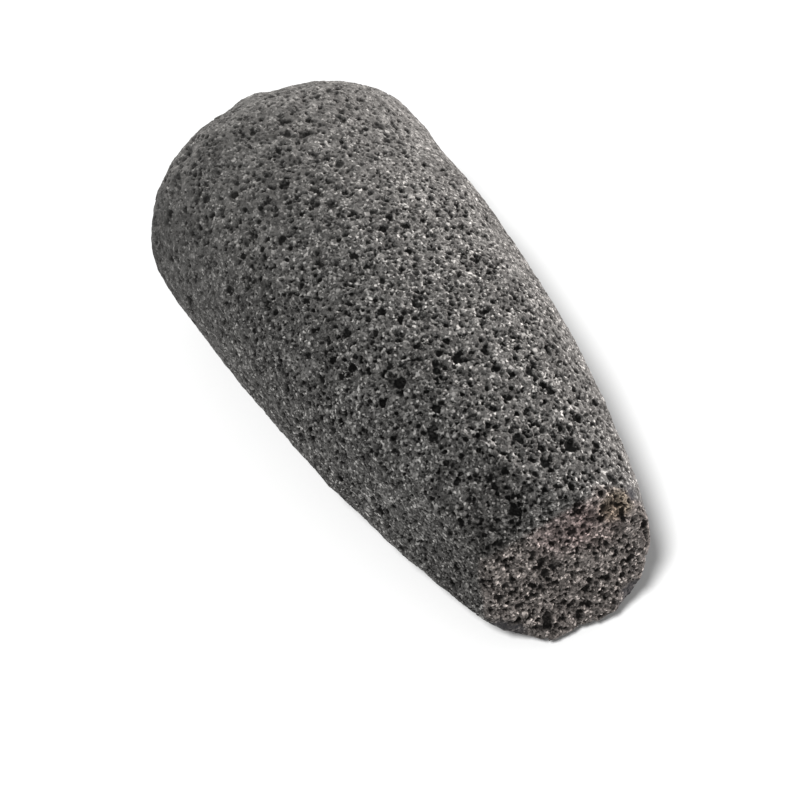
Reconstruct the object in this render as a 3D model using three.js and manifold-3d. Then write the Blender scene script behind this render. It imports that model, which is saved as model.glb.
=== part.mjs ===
// Tejolote, the hand stone of a molcajete: one tapered block of vesicular basalt, lying on its side.
// Millimetres, +Z up. The long axis runs along X: the wide grinding end is at -X, the narrow hand end at +X.
// The origin is under the middle of the stone, on the surface that it lies on.

import * as THREE from 'three';
import { mergeVertices } from 'three/addons/utils/BufferGeometryUtils.js';
import Module from 'manifold-3d';

// Driving dimensions of the rough block
const axisLength = 122; // from the crown of the grinding end to the middle of the hand end's face
const wideHalfWidth = 31.8;
const wideHalfHeight = 27.4;
const narrowHalfWidth = 16.8;
const narrowHalfHeight = 15.6;
const taperPower = 3; // 1 is a straight cone; more keeps the body full and draws the hand end in late
const crownDepth = 18; // length of the rounded grinding end
const crownBluntness = 3; // 2 is an ellipse; more gives a flatter grinding face
const noseLift = 3.4; // how far the underside rises off the surface at the hand end
const noseDrift = 2.3; // how far the hand end sits off the middle, towards +Y

// Squareness of the cross-section: 2 is an ellipse, more is squarer
const wideSquareness = 2.15;
const narrowSquareness = 2.5;

// The hand end's face is cut off askew: how far it runs out along X for each mm of Y and of Z
const faceSkewY = 0.17;
const faceSkewZ = -0.21;
const overrun = 8; // extra length that the hand end's cut takes away

// Flats left by hewing. Each is square to a direction: turn is the angle round the stone, from +Y over the
// top, lean is how far the flat faces the hand end, and depth is the thickness of stone taken off there.
const hewnFlats = [
  { turn: 270, lean: 0, depth: 1.1 }, // underside, which the stone rests on
  { turn: 90, lean: 21, depth: 0.6 }, // top, towards the hand end
  { turn: 115, lean: 28, depth: 1.7 }, // upper corner of the hand end, at -Y
  { turn: 175, lean: 19, depth: 2.0 }, // -Y side, towards the hand end
  { turn: 350, lean: 20, depth: 0.8 }, // +Y side, towards the hand end
  { turn: 42, lean: 6, depth: 0.6 }, // upper shoulder at +Y
  { turn: 214, lean: 4, depth: 0.8 }, // lower flank at -Y
  { turn: 80, lean: -84, depth: 1.2 }, // grinding face
];

// Mesh density of the loft, and how near two vertices are when they are one
const crownSteps = 10;
const bodySteps = 22;
const sides = 52;
const weldDistance = 1e-3;

const basalt = new THREE.MeshStandardMaterial({ color: 0x5b5a59, roughness: 0.95, metalness: 0 });

const radians = THREE.MathUtils.degToRad;

// Where the section grows from a point to its full size along the crown, and then holds it.
// Each point is (share of the full section, distance along the axis).
function lengthwiseProfile() {
  const points = [];
  for (let step = 0; step <= crownSteps; step++) {
    const angle = (Math.PI / 2) * (step / crownSteps);
    const share = Math.sin(angle) ** (2 / crownBluntness);
    points.push(new THREE.Vector2(share, crownDepth * (1 - Math.cos(angle))));
  }
  const bodyLength = axisLength + overrun - crownDepth;
  for (let step = 1; step <= bodySteps; step++) {
    points.push(new THREE.Vector2(1, crownDepth + bodyLength * (step / bodySteps)));
  }
  points.push(new THREE.Vector2(0, axisLength + overrun));
  return points;
}

// A coordinate on the unit superellipse, from the cosine or sine of the angle
function squared(value, squareness) {
  return Math.sign(value) * Math.abs(value) ** (2 / squareness);
}

// Moves a point of the unit-radius turned form to its place on the tapered, squarish stone
function placeOnStone(point) {
  const along = point.y;
  const taper = (along / axisLength) ** taperPower;
  const halfWidth = THREE.MathUtils.lerp(wideHalfWidth, narrowHalfWidth, taper);
  const halfHeight = THREE.MathUtils.lerp(wideHalfHeight, narrowHalfHeight, taper);
  const squareness = THREE.MathUtils.lerp(wideSquareness, narrowSquareness, (along / axisLength) ** 2);
  const share = Math.hypot(point.x, point.z);
  const across = share > 0 ? point.z / share : 0;
  const up = share > 0 ? point.x / share : 0;
  point.set(
    along,
    noseDrift * taper + halfWidth * share * squared(across, squareness),
    halfHeight + noseLift * taper + halfHeight * share * squared(up, squareness),
  );
}

// The rough block, as a closed mesh with shared vertices
function roughBlock() {
  const turned = new THREE.LatheGeometry(lengthwiseProfile(), sides);
  turned.deleteAttribute('normal');
  turned.deleteAttribute('uv');
  const position = turned.attributes.position;
  const point = new THREE.Vector3();
  for (let i = 0; i < position.count; i++) {
    point.fromBufferAttribute(position, i);
    placeOnStone(point);
    position.setXYZ(i, point.x, point.y, point.z);
  }
  return mergeVertices(turned, weldDistance);
}

// How far a mesh reaches in a direction
function reach(geometry, direction) {
  const position = geometry.attributes.position;
  const point = new THREE.Vector3();
  let farthest = -Infinity;
  for (let i = 0; i < position.count; i++) {
    farthest = Math.max(farthest, point.fromBufferAttribute(position, i).dot(direction));
  }
  return farthest;
}

// A big box whose inner wall is square to the direction, at the distance from the origin
function waste(direction, distance) {
  const edge = 3 * axisLength;
  const box = new THREE.BoxGeometry(edge, edge, edge);
  const turn = new THREE.Quaternion().setFromUnitVectors(new THREE.Vector3(0, 0, 1), direction);
  box.translate(0, 0, distance + edge / 2);
  box.applyQuaternion(turn);
  box.deleteAttribute('normal');
  box.deleteAttribute('uv');
  return mergeVertices(box, weldDistance);
}

function solidOf(wasm, geometry) {
  const vertProperties = new Float32Array(geometry.attributes.position.array);
  const triVerts = new Uint32Array(geometry.index.array);
  return new wasm.Manifold(new wasm.Mesh({ numProp: 3, vertProperties, triVerts }));
}

function geometryOf(solid) {
  const mesh = solid.getMesh();
  const geometry = new THREE.BufferGeometry();
  geometry.setAttribute('position', new THREE.BufferAttribute(new Float32Array(mesh.vertProperties), 3));
  geometry.setIndex(new THREE.BufferAttribute(new Uint32Array(mesh.triVerts), 1));
  return geometry;
}

// The rough block with the hand end's face and the hewn flats cut on it
function hewnStone(wasm) {
  const block = roughBlock();
  let solid = solidOf(wasm, block);

  const faceDirection = new THREE.Vector3(1, -faceSkewY, -faceSkewZ).normalize();
  const faceMiddle = new THREE.Vector3(axisLength, noseDrift, narrowHalfHeight + noseLift);
  solid = solid.subtract(solidOf(wasm, waste(faceDirection, faceMiddle.dot(faceDirection))));

  const faced = geometryOf(solid);
  for (const flat of hewnFlats) {
    const turn = radians(flat.turn);
    const lean = radians(flat.lean);
    const direction = new THREE.Vector3(
      Math.sin(lean),
      Math.cos(lean) * Math.cos(turn),
      Math.cos(lean) * Math.sin(turn),
    );
    solid = solid.subtract(solidOf(wasm, waste(direction, reach(faced, direction) - flat.depth)));
  }
  return geometryOf(solid);
}

// Puts the middle of the stone's underside at the origin
function standOnOrigin(geometry) {
  geometry.computeBoundingBox();
  const { min, max } = geometry.boundingBox;
  geometry.translate(-(min.x + max.x) / 2, -(min.y + max.y) / 2, -min.z);
}

const wasm = await Module();
wasm.setup();

const stone = hewnStone(wasm);
standOnOrigin(stone);
stone.computeVertexNormals();

const tejolote = new THREE.Mesh(stone, basalt);
tejolote.name = 'tejolote';

const part = new THREE.Group();
part.add(tejolote);

export default part;
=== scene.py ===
"""Tejolote, the hand stone of a molcajete: vesicular basalt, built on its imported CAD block.

All lengths are in metres unless a name ends in _MM. The stone lies along X, with the wide grinding end
at -X, the narrow hand end at +X, and +Z up.
"""

import math
from itertools import product

import bmesh
import bpy
import numpy as np
from mathutils import Matrix, Vector
from mathutils.kdtree import KDTree


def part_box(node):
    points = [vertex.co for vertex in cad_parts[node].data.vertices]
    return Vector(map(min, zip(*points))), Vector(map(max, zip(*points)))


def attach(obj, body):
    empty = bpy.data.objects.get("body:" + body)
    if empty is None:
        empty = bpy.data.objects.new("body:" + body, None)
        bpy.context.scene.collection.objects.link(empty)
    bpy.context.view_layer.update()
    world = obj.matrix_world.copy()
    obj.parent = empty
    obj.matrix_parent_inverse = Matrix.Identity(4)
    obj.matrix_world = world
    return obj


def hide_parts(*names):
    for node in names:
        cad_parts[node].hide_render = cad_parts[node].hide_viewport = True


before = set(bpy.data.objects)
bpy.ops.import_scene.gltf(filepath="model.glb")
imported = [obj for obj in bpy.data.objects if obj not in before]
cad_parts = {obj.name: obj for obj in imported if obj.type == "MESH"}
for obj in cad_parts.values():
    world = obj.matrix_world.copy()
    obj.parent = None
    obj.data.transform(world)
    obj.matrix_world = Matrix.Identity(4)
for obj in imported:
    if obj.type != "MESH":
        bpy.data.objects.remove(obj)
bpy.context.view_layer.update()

MM = 0.001
stone_low, stone_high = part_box("tejolote")
stone_middle = (stone_low + stone_high) / 2

# Camera: degrees about the stone, and metres
CAMERA_AZIMUTH = 59.8
CAMERA_ELEVATION = 47.7
CAMERA_ROLL = 0.6
CAMERA_DISTANCE = 0.4474
CAMERA_AIM = Vector((0.0111, -0.0075, 0.025))
CAMERA_LENS_MM = 103.9
CAMERA_SENSOR_MM = 36

# The room, even all round, and the soft round lamps that light the stone alone
ROOM_LIGHT = 0.90            # radiance
STONE_LAMPS = [              # name, watts, azimuth, elevation and colour
    ("side_light", 18.5, 165, 10, (1.0, 0.94, 0.92)),
    ("back_light", 12, 250, 28, (1.0, 0.965, 0.94)),
]
STONE_LAMP_WIDTH = 0.5
STONE_LAMP_DISTANCE = 0.9

# The paper that the stone lies on, and the sun that lights the paper alone
PAPER_ALBEDO = 0.35
PAPER_REACH = 3.0            # from its middle to each of its edges
PAPER_LIGHT = 8.4            # W/m2
PAPER_LIGHT_SPREAD = 12      # degrees
PAPER_LIGHT_AZIMUTH = 32
PAPER_LIGHT_ELEVATION = 58

# Surface mesh
WELD_DISTANCE = 1e-6
REMESH_SIZE = 0.8 * MM
SMOOTHING_STEPS = 6
SMOOTHING_FACTOR = 0.5
SUBDIVISIONS = 2

# Layout of the map for baking. Places in it are shares of its width.
MAP_LENGTH = 190 * MM        # length along the surface that the whole width covers
MAP_SIDES_ACROSS = 0.005     # where the sides start, across
MAP_SIDES_WIDTH = 0.985      # how wide one turn round the stone is
MAP_SIDES_UP = 0.01          # how high up the sides start, at the grinding end
MAP_ENDS_UP = 0.7            # how high up the underside of the two ends is laid
MAP_GRINDING_END = 0.2       # how far across the grinding end's middle is laid
MAP_HAND_END = 0.7           # how far across the hand end's middle is laid
END_NORMAL = 0.7             # a square belongs to an end if its normal leans further than this along X
AXIS_DRIFT = 0.018           # how far the stone's middle line goes to +Y for each unit of X
AXIS_DROP = 0.06             # how far it goes down for each unit of X

# Hewn unevenness: height, width and seed
SWELLS_MM = [(0.28, 15, 11), (0.20, 5, 12), (0.15, 2.2, 15), (0.08, 1.1, 13), (0.07, 0.5, 14)]

# Gas pits cut open by the surface
PIT_SPACING_AREA_MM2 = 0.70  # surface for each pit that is tried
PIT_MEDIAN_RADIUS_MM = 0.27
PIT_SPREAD = 0.38            # standard deviation of the radius's logarithm
PIT_RADIUS_LIMITS_MM = (0.16, 0.85)
PIT_GROWTH_ON_FACE = 1.2     # how much larger pits are in the hand end's face
PIT_OVERLAP = 0.4            # share of their radii by which two pits may cut into each other
PIT_LOBES = 2                # smaller balls beside each pit's ball
PIT_LOBE_REACH = 1.05        # how far out they lie at most, over the ball's radius
PIT_SINKS = (-0.35, 0.7)     # how far a ball's middle lies under the surface, over the ball's radius
PIT_WARPS_MM = [(0.17, 0.9, (21, 22, 23)), (0.16, 0.4, (24, 25, 26))]  # shift, width and seeds
PIT_DEPTH = 1.1 * MM         # of the deepest pits
PIT_SHADE_DEPTH = 0.8 * MM   # depth at which a pit gets its full painted shade in the material
LOBE_SIZES = (0.35, 0.85)    # radius of a smaller ball, over its ball's radius

# Large craggy hollows: place along X, turn from +Y over the top in degrees, and half width
HOLLOWS_MM = [
    (24, 97, 1.3), (22, 130, 1.2), (34, 136, 1.1), (42, 90, 1.1), (47, 55, 1.2),
    (52, 136, 1.4), (45, 130, 1.0), (46, 116, 0.8), (48, 81, 1.0), (-20, 110, 1.1),
    (5, 60, 1.0), (-35, 60, 1.2), (10, 215, 1.3), (-30, 205, 1.1), (-12, 330, 1.4),
    (30, 345, 1.1), (-40, 10, 1.2), (15, 20, 1.0),
]
HOLLOW_BALL = 0.7            # radius of a hollow's middle ball, over its half width
HOLLOW_LOBES = 9
HOLLOW_LOBE_REACH = 1.3
MM_FOR_EACH_DEGREE = 0.4     # roughly how long a degree of turn is on the stone

# Where the wear is full and where it ends: along X from grinding, and along Y from the hand
WORN_ALONG = (stone_low.x, 22 * MM)
WORN_ACROSS = (26 * MM, 8 * MM)
WORN_ACROSS_SHARE = 0.4      # how much the hand wears, over how much grinding does
WORN_PITS_LOST = 0.3         # share of their depth that full wear takes from the pits

# The plane of the hand end's face: its direction, and how far along that it lies
FACE_DIRECTION = Vector((0.966, -0.164, 0.203))
FACE_DISTANCE = 60.1 * MM
FACE_MARGIN = 1 * MM         # how far under the plane a point still counts as on the face
FACE_COLOUR_FROM = FACE_DISTANCE - 2 * MM
FACE_COLOUR_FULL = FACE_DISTANCE - 0.7 * MM
FACE_UPPER_EDGE = Vector((0, -0.36, 0.93))  # square to the darker upper edge above the face, where the face's lighter tint ends
FACE_UPPER_FADE = (28.3 * MM, 30.3 * MM)    # how far along that the face's colour fades out

# Chips off the edges: place, half width and depth. A depth below 0 stands out.
CHIPS_MM = [
    ((-56.3, -11.5, 48), 3, 1.2), ((-56.7, -4, 49), 5, -0.8), ((-52, -22, 45), 3, 1.1),
    ((-48.6, -30, 35), 3.5, 1.0), ((-53, 6, 51.5), 3.5, 0.6), ((-50, 21, 47), 4, 0.6),
    ((-58, -22, 14), 5, 0.8), ((-59, 20, 30), 4, 0.7), ((-57, 12, 6), 5, 0.8),
    ((57.7, -12.3, 8.4), 3, 0.6), ((59, -9, 6.3), 3, 0.7), ((60, -5.8, 4.3), 2.5, 0.6),
    ((60.6, -2.5, 3.6), 6, -1.15), ((62.6, 14.7, 8.7), 3.5, 0.8), ((62.8, 13, 6), 2.5, 0.5),
    ((56.5, 16, 30), 2.5, 0.5),
]
CHIP_WARP_MM = (0.8, 2.5, (41, 42, 43))  # shift, width and seeds
HAND_CHIPS_FROM = 50 * MM    # beyond here along X, chips have fewer pits and a darker, bluer colour that is painted shade
HAND_CHIP_FULL_DEPTH = 0.4 * MM       # depth at which a chip there counts in full
HAND_CHIP_PITS_LOST = 0.8        # share of their depth that the pits lack in those chips

# Greys of the rock. A level is a display level from 0 to 255, a share is how much of it is mixed in, and
# levels with positions make a ramp.
GRAIN_SIZE = 0.42 * MM
GRAIN_LEVELS = [(0, 26), (0.2, 48), (0.45, 82), (0.70, 100), (0.86, 136), (0.96, 188), (1, 225)]
GRAIN_WARP = 0.35 * MM       # how far the outlines of crystals and micro-pits are shifted
GRAIN_WARP_SIZE = 0.5 * MM
FINE_SIZE = 0.26 * MM
FINE_LEVELS = [(0.3, 25), (0.5, 88), (0.7, 165)]
FINE_SHARE = 0.35
WORN_LEVEL = 90
WORN_SHARE = 0.68
PATCHES_MM = [(2.2, 190), (9, 225)]  # width, and level of the darkest patches
# Painted shade in the chips at the hand end: a darker, bluer grey
CHIP_SHADE_LEVEL = 46
CHIP_SHADE_BLUE = 1.14
CHIP_SHADE_SHARE = 0.8

# Painted shade inside the pits, both those of the mesh and those that are too small for it
PIT_SHADE_LEVEL = 7
PIT_SHADE_SHARE = 0.92           # painted shade on the floors of deep pits
PIT_SHADE_FADE = (0.05, 0.7)     # stored depths where that starts and is full
MICRO_PIT_CELL = 0.75 * MM
MICRO_PIT_RADIUS = 0.36      # of the largest, over the cell
MICRO_PIT_SHADE_SHARE = 0.8
WORN_SHADE_LOST = 0.25

# The few large pale crystals
PALE_CELL = 4 * MM
PALE_RADIUS = (0.11, 0.16)   # where a crystal is full and where it ends, over the cell
PALE_RARITY = (0.7, 0.8)     # random values above these make a crystal in a cell
PALE_LEVEL = 155
PALE_SHARE = 0.5

# Tints, as red, green and blue factors
STONE_TINT = (1.39, 1.36, 1.31, 1)
FACE_WARMTH_AND_PAINTED_LIGHT = (1.68, 1.51, 1.41, 1)  # on the hand end's face: warmer, which is its own colour, and lighter, which is painted light
HAND_END_SHADE_TINT = (1.00, 0.97, 0.93, 1)  # painted shade, darker and bluer, on the upper -Y corner of the hand end
HAND_END_SHADE_ALONG = (39 * MM, 50 * MM)    # where the painted shade starts and is full, along X
HAND_END_SHADE_DIRECTION = (0, -0.9, 0.43)
HAND_END_SHADE_OUTWARDS = (16 * MM, 22 * MM)  # where it starts and is full, along its direction

# Coloured stains in the hand end's face: place, radius and tint
STAINS_MM = [
    ((56.2, 1, 29), 9, (1.06, 0.98, 1.0, 1)),
    ((57.5, 8, 27), 8, (1.05, 0.98, 0.98, 1)),
    ((57.6, 11.8, 30), 4.5, (1.20, 1.13, 0.95, 1)),
]

STAIN_CORE = 0.4             # share of a stain's radius that has its full tint

# Gloss and fine relief
ROUGHNESS = 0.9
SPECULAR_LEVEL = 0.09
BUMP_STRENGTH = 0.8
BUMP_HEIGHT = 0.12 * MM

rng = np.random.default_rng(1521)


# ---------------------------------------------------------------- camera, light and floor

def direction(azimuth, elevation):
    """The unit vector from the stone towards azimuth (0 is -Y, 90 is +X) and elevation, in degrees."""
    turn, rise = math.radians(azimuth), math.radians(elevation)
    return Vector((math.sin(turn) * math.cos(rise), -math.cos(turn) * math.cos(rise), math.sin(rise)))


def aimed(obj, place, target, roll=0.0):
    """Puts obj at place, looking along its -Z at target, and rolls it about that line."""
    look = (target - place).to_track_quat("-Z", "Y").to_matrix().to_4x4()
    obj.matrix_world = Matrix.Translation(place) @ look @ Matrix.Rotation(math.radians(roll), 4, "Z")


def make_camera():
    camera = bpy.data.objects.new("camera", bpy.data.cameras.new("camera"))
    bpy.context.scene.collection.objects.link(camera)
    camera.data.lens = CAMERA_LENS_MM
    camera.data.sensor_width = CAMERA_SENSOR_MM
    camera.data.clip_start = 0.01
    towards = direction(CAMERA_AZIMUTH, CAMERA_ELEVATION)
    aimed(camera, CAMERA_AIM + CAMERA_DISTANCE * towards, CAMERA_AIM, CAMERA_ROLL)
    bpy.context.scene.camera = camera


def make_lamp(lamp, azimuth, elevation, distance, lit_object):
    """Puts up a lamp that looks at the stone from one side and lights lit_object alone."""
    obj = bpy.data.objects.new(lamp.name, lamp)
    bpy.context.scene.collection.objects.link(obj)
    aimed(obj, stone_middle + distance * direction(azimuth, elevation), stone_middle)
    lit = bpy.data.collections.new("lit_by_" + lamp.name)
    lit.objects.link(lit_object)
    obj.light_linking.receiver_collection = lit


def light_stone(stone):
    """Two broad soft lamps: one low on the +Y side, and one higher up behind the grinding end."""
    for name, watts, azimuth, elevation, colour in STONE_LAMPS:
        lamp = bpy.data.lights.new(name, "AREA")
        lamp.shape = "DISK"
        lamp.size = STONE_LAMP_WIDTH
        lamp.energy = watts
        lamp.color = colour
        make_lamp(lamp, azimuth, elevation, STONE_LAMP_DISTANCE, stone)


def light_paper(floor):
    """An even lamp over the hand end and the -Y side, whose short soft shadow sets off the stone."""
    lamp = bpy.data.lights.new("paper_light", "SUN")
    lamp.energy = PAPER_LIGHT
    lamp.angle = math.radians(PAPER_LIGHT_SPREAD)
    make_lamp(lamp, PAPER_LIGHT_AZIMUTH, PAPER_LIGHT_ELEVATION, 1.0, floor)


def light_room():
    world = bpy.data.worlds.new("room")
    world.use_nodes = True
    background = world.node_tree.nodes["Background"]
    background.inputs["Color"].default_value = (1, 1, 1, 1)
    background.inputs["Strength"].default_value = ROOM_LIGHT
    bpy.context.scene.world = world
    bpy.context.scene.view_settings.view_transform = "Standard"


def make_floor():
    """A large flat sheet of pale paper, level with the stone's underside."""
    mesh = bpy.data.meshes.new("floor")
    corners = [(x * PAPER_REACH, y * PAPER_REACH, 0) for x, y in ((-1, -1), (1, -1), (1, 1), (-1, 1))]
    mesh.from_pydata(corners, [], [(0, 1, 2, 3)])
    floor = bpy.data.objects.new("floor", mesh)
    bpy.context.scene.collection.objects.link(floor)
    paper = bpy.data.materials.new("pale_paper")
    paper.use_nodes = True
    shader = paper.node_tree.nodes["Principled BSDF"]
    shader.inputs["Base Color"].default_value = (PAPER_ALBEDO, PAPER_ALBEDO, PAPER_ALBEDO, 1)
    shader.inputs["Roughness"].default_value = 0.9
    mesh.materials.append(paper)
    return floor


# ---------------------------------------------------------------- the stone's mesh

def applied(obj):
    """A new mesh with obj's modifiers applied."""
    graph = bpy.context.evaluated_depsgraph_get()
    return bpy.data.meshes.new_from_object(obj.evaluated_get(graph))


def even_blank():
    """The CAD block as an even, smooth mesh of small squares, with its sharp edges worn round."""
    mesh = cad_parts["tejolote"].data.copy()
    welder = bmesh.new()
    welder.from_mesh(mesh)
    bmesh.ops.remove_doubles(welder, verts=welder.verts, dist=WELD_DISTANCE)
    welder.to_mesh(mesh)
    welder.free()
    stone = bpy.data.objects.new("basalt_stone", mesh)
    bpy.context.scene.collection.objects.link(stone)
    remesh = stone.modifiers.new("even", "REMESH")
    remesh.mode = "VOXEL"
    remesh.voxel_size = REMESH_SIZE
    smooth = stone.modifiers.new("wear", "SMOOTH")
    smooth.factor = SMOOTHING_FACTOR
    smooth.iterations = SMOOTHING_STEPS
    finer = stone.modifiers.new("finer", "SUBSURF")
    finer.levels = SUBDIVISIONS
    finer.render_levels = SUBDIVISIONS
    fine = applied(stone)
    stone.modifiers.clear()
    stone.data = fine
    stone.data.materials.clear()
    return stone


def vectors(collection, attribute):
    """A three-number attribute of each element, as rows of an array."""
    values = np.empty(3 * len(collection), np.float32)
    collection.foreach_get(attribute, values)
    return values.reshape(-1, 3).astype(float)


def smooth_share(values, full, none):
    """Goes smoothly from 1 to 0 while values go from full to none."""
    share = np.clip((values - none) / (full - none), 0, 1)
    return share * share * (3 - 2 * share)


def soft_noise(points, size, seed):
    """Smooth random values from -1 to 1, one for each point, that change over about size."""
    cells = 32
    lattice = np.random.default_rng(seed).uniform(-1, 1, (cells, cells, cells))
    place = points / size
    low = np.floor(place).astype(int)
    share = place - low
    share = share * share * (3 - 2 * share)
    total = np.zeros(len(points))
    for corner in product((0, 1), repeat=3):
        weight = np.prod(np.where(corner, share, 1 - share), axis=1)
        x, y, z = ((low + corner) % cells).T
        total += weight * lattice[x, y, z]
    return total


def warp(points, shift_mm, width_mm, seeds):
    """A smooth random vector for each point, up to shift_mm each way."""
    ways = [soft_noise(points, width_mm * MM, seed) for seed in seeds]
    return shift_mm * MM * np.stack(ways, axis=1)


def scatter_on(mesh, area_each):
    """Random face centres, spread evenly, one for each area_each of the mesh's surface."""
    area = np.empty(len(mesh.polygons), np.float32)
    mesh.polygons.foreach_get("area", area)
    area = area.astype(float)
    chosen = rng.choice(len(area), size=int(area.sum() / area_each), p=area / area.sum())
    return vectors(mesh.polygons, "center")[chosen]


def separate_pits(places, radii):
    """The indices of the pits that are kept, largest first, so that none cuts too far into another."""
    cell = 2 * radii.max()
    grid = {}
    kept = []
    for index in np.argsort(-radii):
        place, radius = places[index], radii[index]
        x, y, z = np.floor(place / cell).astype(int)
        near = [j for step in product((-1, 0, 1), repeat=3)
                for j in grid.get((x + step[0], y + step[1], z + step[2]), ())]
        if near:
            gaps = np.linalg.norm(places[near] - place, axis=1)
            if np.any(gaps < (1 - PIT_OVERLAP) * (radii[near] + radius)):
                continue
        grid.setdefault((x, y, z), []).append(index)
        kept.append(index)
    return np.array(kept)


def with_lobes(places, radii, lobes, reach):
    """Adds smaller balls beside each ball, which make its outline uneven. reach is how far out they
    lie at most, over the ball's radius."""
    all_places, all_radii = [places], [radii]
    for _ in range(lobes):
        way = rng.standard_normal(places.shape)
        way /= np.linalg.norm(way, axis=1)[:, None]
        away = radii * rng.uniform(0.6 * reach, reach, len(radii))
        all_places.append(places + way * away[:, None])
        all_radii.append(radii * rng.uniform(*LOBE_SIZES, len(radii)))
    return np.concatenate(all_places), np.concatenate(all_radii)


def small_pits(mesh):
    """The places and opening radii of the small gas pits' balls."""
    places = scatter_on(mesh, PIT_SPACING_AREA_MM2 * MM * MM)
    sizes = PIT_MEDIAN_RADIUS_MM * np.exp(PIT_SPREAD * rng.standard_normal(len(places)))
    sizes *= np.where(on_face(places), PIT_GROWTH_ON_FACE, 1.0)
    radii = MM * np.clip(sizes, *PIT_RADIUS_LIMITS_MM)
    kept = separate_pits(places, radii)
    return with_lobes(places[kept], radii[kept], PIT_LOBES, PIT_LOBE_REACH)


def large_hollows(points):
    """The places and opening radii of the large hollows' balls."""
    turns = np.degrees(np.arctan2(points[:, 2] - stone_middle.z, points[:, 1]))
    nearest = []
    for along, turn, _ in HOLLOWS_MM:
        gap = (turns - turn + 180) % 360 - 180
        nearest.append(np.argmin((points[:, 0] / MM - along) ** 2 + (MM_FOR_EACH_DEGREE * gap) ** 2))
    radii = MM * np.array([HOLLOW_BALL * half_width for _, _, half_width in HOLLOWS_MM])
    return with_lobes(points[nearest], radii, HOLLOW_LOBES, HOLLOW_LOBE_REACH)


def ball_depths(points, places, radii, sinks):
    """How deep each point lies in a ball of gas cut by the surface. radii are those of the openings, and
    sinks is how far each ball's middle lies under the surface, over the ball's radius."""
    tree = KDTree(len(points))
    for index, point in enumerate(points):
        tree.insert(point, index)
    tree.balance()
    depth = np.zeros(len(points))
    for place, radius, sink in zip(places, radii, sinks):
        found = tree.find_range(tree.find(place)[0], radius)
        index = np.array([hit[1] for hit in found])
        away = np.array([hit[2] for hit in found])
        ball = radius / math.sqrt(1 - sink * sink)
        np.maximum.at(depth, index, sink * ball + np.sqrt(ball * ball - away * away))
    return depth


def pit_depths(mesh, points):
    """The depth of the small gas pits and of the large hollows at each point."""
    pits, pit_radii = small_pits(mesh)
    hollows, hollow_radii = large_hollows(points)
    places = np.concatenate([pits, hollows])
    radii = np.concatenate([pit_radii, hollow_radii])
    sinks = rng.uniform(*PIT_SINKS, len(radii))
    uneven = points + sum(warp(points, *layer) for layer in PIT_WARPS_MM)
    return PIT_DEPTH * np.tanh(ball_depths(uneven, places, radii, sinks) / PIT_DEPTH)


def chip_depths(points):
    """The depth of the shallow chips off the stone's edges at each point."""
    depth = np.zeros(len(points))
    uneven = points + warp(points, *CHIP_WARP_MM)
    for place, half_width, deep in CHIPS_MM:
        middle = points[np.argmin(np.linalg.norm(points - MM * np.array(place), axis=1))]
        share = np.linalg.norm(uneven - middle, axis=1) / (half_width * MM)
        depth += deep * MM * np.clip(1 - share * share, 0, 1) ** 1.5
    return depth


def on_face(points):
    """Which points lie on the hand end's face."""
    return points @ np.array(FACE_DIRECTION) > FACE_DISTANCE - FACE_MARGIN


def wear(points):
    """How far each point is rubbed down, from 0 to 1: most on the grinding end, and some on one side."""
    ground = smooth_share(points[:, 0], *WORN_ALONG)
    handled = WORN_ACROSS_SHARE * smooth_share(points[:, 1], *WORN_ACROSS)
    return np.where(on_face(points), 0, np.maximum(ground, handled))


def unroll(mesh, points):
    """Lays out the map for baking: the sides unrolled about the long axis, and above them the two ends."""
    corners = np.empty(len(mesh.loops), np.int32)
    mesh.loops.foreach_get("vertex_index", corners)
    x, y, z = (points[corners] / MAP_LENGTH).reshape(-1, 4, 3).transpose(2, 0, 1)
    along = x - stone_low.x / MAP_LENGTH
    middle_y = AXIS_DRIFT * along
    middle_z = stone_middle.z / MAP_LENGTH - AXIS_DROP * along
    turn = (np.arctan2(z - middle_z, y - middle_y) / math.tau + 0.25) % 1
    over_seam = np.ptp(turn, axis=1)[:, None] > 0.5
    turn = np.where(over_seam & (turn < 0.5), turn + 1, turn)

    end = vectors(mesh.polygon_normals, "vector")[:, :1]
    across = y + np.where(end > 0, MAP_HAND_END, MAP_GRINDING_END)
    is_end = np.abs(end) > END_NORMAL
    u = np.where(is_end, across, MAP_SIDES_ACROSS + MAP_SIDES_WIDTH * turn)
    v = np.where(is_end, MAP_ENDS_UP + z, MAP_SIDES_UP + along)
    layer = mesh.uv_layers.new(name="OFBake")
    layer.uv.foreach_set("vector", np.stack([u, v], axis=2).astype(np.float32).ravel())


def keep_on(mesh, name, values):
    """Stores a share from 0 to 1 at each vertex, for the material to read."""
    attribute = mesh.attributes.new(name, "FLOAT", "POINT")
    attribute.data.foreach_set("value", np.clip(values, 0, 1).astype(np.float32))


def carve(stone):
    """Gives the blank its hewn unevenness, its chips and its open gas pits."""
    mesh = stone.data
    points = vectors(mesh.vertices, "co")
    normals = vectors(mesh.vertex_normals, "vector")
    unroll(mesh, points)

    swell = sum(height * MM * soft_noise(points, width * MM, seed) for height, width, seed in SWELLS_MM)
    chips = chip_depths(points)
    hand_chip = np.clip(chips / HAND_CHIP_FULL_DEPTH, 0, 1) * (points[:, 0] > HAND_CHIPS_FROM)
    worn = wear(points)
    pits = pit_depths(mesh, points) * (1 - WORN_PITS_LOST * worn) * (1 - HAND_CHIP_PITS_LOST * hand_chip)
    moved = points + normals * (swell - pits - chips)[:, None]
    moved[:, 2] = np.maximum(moved[:, 2], 0)
    mesh.vertices.foreach_set("co", moved.astype(np.float32).ravel())
    keep_on(mesh, "pit_depth", pits / PIT_SHADE_DEPTH)
    # the chips at the hand end, which the material darkens with painted shade
    keep_on(mesh, "hand_chip_shade", hand_chip)
    keep_on(mesh, "worn", worn)
    mesh.shade_smooth()
    mesh.update()


# ---------------------------------------------------------------- materials

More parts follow.
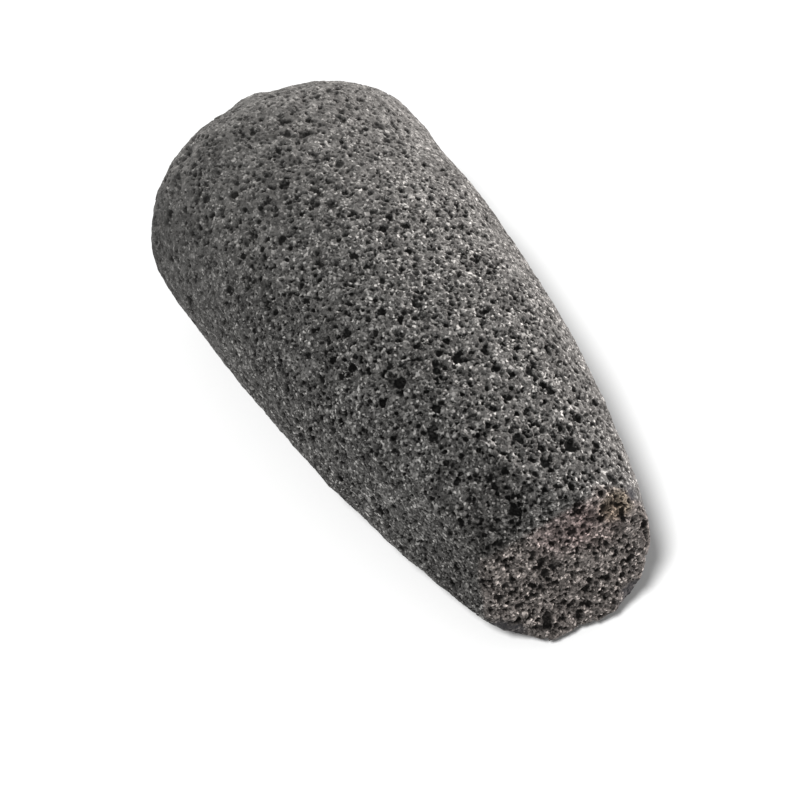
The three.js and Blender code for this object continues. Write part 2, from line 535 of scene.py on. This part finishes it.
def linear(level):
    """The linear value of a display level from 0 to 255."""
    share = level / 255
    return share / 12.92 if share < 0.04045 else ((share + 0.055) / 1.055) ** 2.4


def grey(level, blue=1.0):
    """The colour of a display level from 0 to 255, with its blue changed by a factor."""
    value = linear(level)
    return (value, value, value * blue, 1)


class Nodes:
    """Short calls for building a material's nodes."""

    def __init__(self, material):
        material.use_nodes = True
        self.tree = material.node_tree
        self.shader = self.tree.nodes["Principled BSDF"]

    def add(self, kind, **values):
        node = self.tree.nodes.new(kind)
        for name, value in values.items():
            setattr(node, name, value)
        return node

    def link(self, source, target):
        self.tree.links.new(source, target)

    def feed(self, socket, value):
        """Links value to the socket if it is another node's output, and otherwise sets it there."""
        if isinstance(value, bpy.types.NodeSocket):
            self.link(value, socket)
        else:
            socket.default_value = value

    def stored(self, name):
        """The share that keep_on stored under a name."""
        return self.add("ShaderNodeAttribute", attribute_name=name).outputs["Fac"]

    def noise(self, where, size, detail=2.0, roughness=0.5, output="Fac"):
        node = self.add("ShaderNodeTexNoise")
        self.link(where, node.inputs["Vector"])
        node.inputs["Scale"].default_value = 1 / size
        node.inputs["Detail"].default_value = detail
        node.inputs["Roughness"].default_value = roughness
        return node.outputs[output]

    def crystals(self, where, size):
        """Distance from the nearest crystal's middle, in cells, and a random value for each crystal."""
        node = self.add("ShaderNodeTexVoronoi")
        self.link(where, node.inputs["Vector"])
        node.inputs["Scale"].default_value = 1 / size
        split = self.add("ShaderNodeSeparateColor")
        self.link(node.outputs["Color"], split.inputs["Color"])
        return node.outputs["Distance"], split.outputs["Red"]

    def shifted(self, where, noise_size, shift):
        """where, moved about by noise, so that patterns laid on it get uneven outlines."""
        node = self.add("ShaderNodeVectorMath", operation="MULTIPLY_ADD")
        self.link(self.noise(where, noise_size, output="Color"), node.inputs[0])
        node.inputs[1].default_value = (shift, shift, shift)
        self.link(where, node.inputs[2])
        return node.outputs[0]

    def measured(self, operation, where, vector):
        """The number that a vector operation makes of where and a fixed vector."""
        node = self.add("ShaderNodeVectorMath", operation=operation)
        self.link(where, node.inputs[0])
        node.inputs[1].default_value = vector
        return node.outputs["Value"]

    def along(self, where, way):
        """How far where lies along a direction."""
        return self.measured("DOT_PRODUCT", where, way)

    def distance(self, where, place):
        return self.measured("DISTANCE", where, place)

    def math(self, operation, first, second):
        node = self.add("ShaderNodeMath", operation=operation)
        self.feed(node.inputs[0], first)
        self.feed(node.inputs[1], second)
        return node.outputs[0]

    def product(self, first, second):
        return self.math("MULTIPLY", first, second)

    def band(self, value, start, end, low=0.0, high=1.0):
        """Goes smoothly from low to high while value goes from start to end."""
        node = self.add("ShaderNodeMapRange", interpolation_type="SMOOTHSTEP")
        self.link(value, node.inputs["Value"])
        for name, number in (("From Min", start), ("From Max", end), ("To Min", low), ("To Max", high)):
            node.inputs[name].default_value = number
        return node.outputs["Result"]

    def ramp(self, value, levels):
        """A grey for each value, by a list of positions with their display levels."""
        node = self.add("ShaderNodeValToRGB")
        elements = node.color_ramp.elements
        while len(elements) < len(levels):
            elements.new(0.5)
        for element, (position, level) in zip(elements, levels):
            element.position = position
            element.color = grey(level)
        self.link(value, node.inputs["Fac"])
        return node.outputs["Color"]

    def mix(self, share, first, second, blend="MIX"):
        node = self.add("ShaderNodeMix", data_type="RGBA", blend_type=blend)
        self.feed(node.inputs["Factor"], share)
        self.feed(node.inputs["A"], first)
        self.feed(node.inputs["B"], second)
        return node.outputs["Result"]

    def tinted(self, colour, tint):
        return self.mix(1.0, colour, tint, "MULTIPLY")


def rock_grain(n, where, uneven, fine, worn):
    """The rock's own grey: crystals and finer grain, evened out by wear, with darker patches."""
    _, kind = n.crystals(uneven, GRAIN_SIZE)
    rock = n.mix(FINE_SHARE, n.ramp(kind, GRAIN_LEVELS), n.ramp(fine, FINE_LEVELS))
    rock = n.mix(n.product(worn, WORN_SHARE), rock, grey(WORN_LEVEL))
    for width, dark in PATCHES_MM:
        patch = n.noise(where, width * MM)
        rock = n.tinted(rock, n.ramp(patch, [(0.3, dark), (0.7, 255)]))
    return rock


def micro_pits(n, uneven):
    """A share that is 1 in pits too small for the mesh. Most cells have one, of its own size."""
    gap, kind = n.crystals(uneven, MICRO_PIT_CELL)
    radius = n.band(kind, 0.3, 1.0, 0.0, MICRO_PIT_RADIUS)
    return n.band(n.math("SUBTRACT", gap, radius), -0.08, 0.02, 1.0, 0.0)


def painted_pit_shade(n, speck, worn):
    """How much painted shade darkens a pit at a place: most on the floors of deep pits, and less where the
    stone is worn.
    """
    deep = n.band(n.stored("pit_depth"), *PIT_SHADE_FADE, 0.0, PIT_SHADE_SHARE)
    inside = n.math("MAXIMUM", deep, n.product(speck, MICRO_PIT_SHADE_SHARE))
    return n.product(inside, n.math("SUBTRACT", 1.0, n.product(worn, WORN_SHADE_LOST)))


def pale_crystals(n, uneven):
    """A share that is 1 on the few large pale crystals."""
    gap, kind = n.crystals(uneven, PALE_CELL)
    return n.product(n.band(gap, *PALE_RADIUS, 1.0, 0.0), n.band(kind, *PALE_RARITY))


def hand_face(n, uneven):
    """A share that is 1 on the hand end's face, below its darker upper edge: where the face's warm tint
    and painted light go.
    """
    outwards = n.along(uneven, FACE_DIRECTION)
    upwards = n.along(uneven, FACE_UPPER_EDGE)
    return n.product(n.band(outwards, FACE_COLOUR_FROM, FACE_COLOUR_FULL),
                     n.band(upwards, *FACE_UPPER_FADE, 1.0, 0.0))


def painted_hand_end_shade(n, where):
    """A share that is 1 where painted shade darkens the upper -Y corner of the hand end."""
    return n.product(n.band(n.along(where, (1, 0, 0)), *HAND_END_SHADE_ALONG),
                     n.band(n.along(where, HAND_END_SHADE_DIRECTION), *HAND_END_SHADE_OUTWARDS))


def coloured(n, rock, where, uneven):
    """The rock with its tints: the hand end's face warmer and, with painted light, lighter; painted shade
    over the hand end's upper -Y corner; the stains; and painted shade in the hand end's chips.
    """
    face = hand_face(n, uneven)
    # Painted shade: the upper -Y corner of the hand end is made darker and bluer
    tint = n.mix(painted_hand_end_shade(n, where), STONE_TINT, HAND_END_SHADE_TINT)
    # The hand end's face gets its own warmer colour and painted light that makes it lighter
    rock = n.tinted(rock, n.mix(face, tint, FACE_WARMTH_AND_PAINTED_LIGHT))
    for place, radius, stain in STAINS_MM:
        away = n.distance(where, Vector(place) * MM)
        share = n.product(n.band(away, STAIN_CORE * radius * MM, radius * MM, 1.0, 0.0), face)
        rock = n.mix(share, rock, n.tinted(rock, stain))
    # Painted shade in the chips at the hand end
    return n.mix(n.product(n.stored("hand_chip_shade"), CHIP_SHADE_SHARE), rock, grey(CHIP_SHADE_LEVEL, CHIP_SHADE_BLUE))


def basalt():
    """Dark fine-grained rock with small pale crystals, and painted shade inside its pits."""
    material = bpy.data.materials.new("vesicular_basalt")
    n = Nodes(material)
    where = n.add("ShaderNodeTexCoord").outputs["Object"]
    uneven = n.shifted(where, GRAIN_WARP_SIZE, GRAIN_WARP)
    worn = n.stored("worn")
    fine = n.noise(where, FINE_SIZE, detail=3.0, roughness=0.8)
    speck = micro_pits(n, uneven)

    rock = rock_grain(n, where, uneven, fine, worn)
    # Painted shade: the pits are darkened inside, most on their floors
    rock = n.mix(painted_pit_shade(n, speck, worn), rock, grey(PIT_SHADE_LEVEL))
    rock = n.mix(n.product(pale_crystals(n, uneven), PALE_SHARE), rock, grey(PALE_LEVEL))
    n.link(coloured(n, rock, where, uneven), n.shader.inputs["Base Color"])

    n.shader.inputs["Roughness"].default_value = ROUGHNESS
    n.shader.inputs["Specular IOR Level"].default_value = SPECULAR_LEVEL
    bump = n.add("ShaderNodeBump")
    bump.inputs["Strength"].default_value = BUMP_STRENGTH
    bump.inputs["Distance"].default_value = BUMP_HEIGHT
    n.link(n.math("SUBTRACT", fine, speck), bump.inputs["Height"])
    n.link(bump.outputs["Normal"], n.shader.inputs["Normal"])
    return material


# ---------------------------------------------------------------- building

make_camera()
floor = make_floor()
stone = even_blank()
carve(stone)
stone.data.materials.append(basalt())
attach(stone, "root")
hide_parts("tejolote")

light_stone(stone)
light_paper(floor)
light_room()
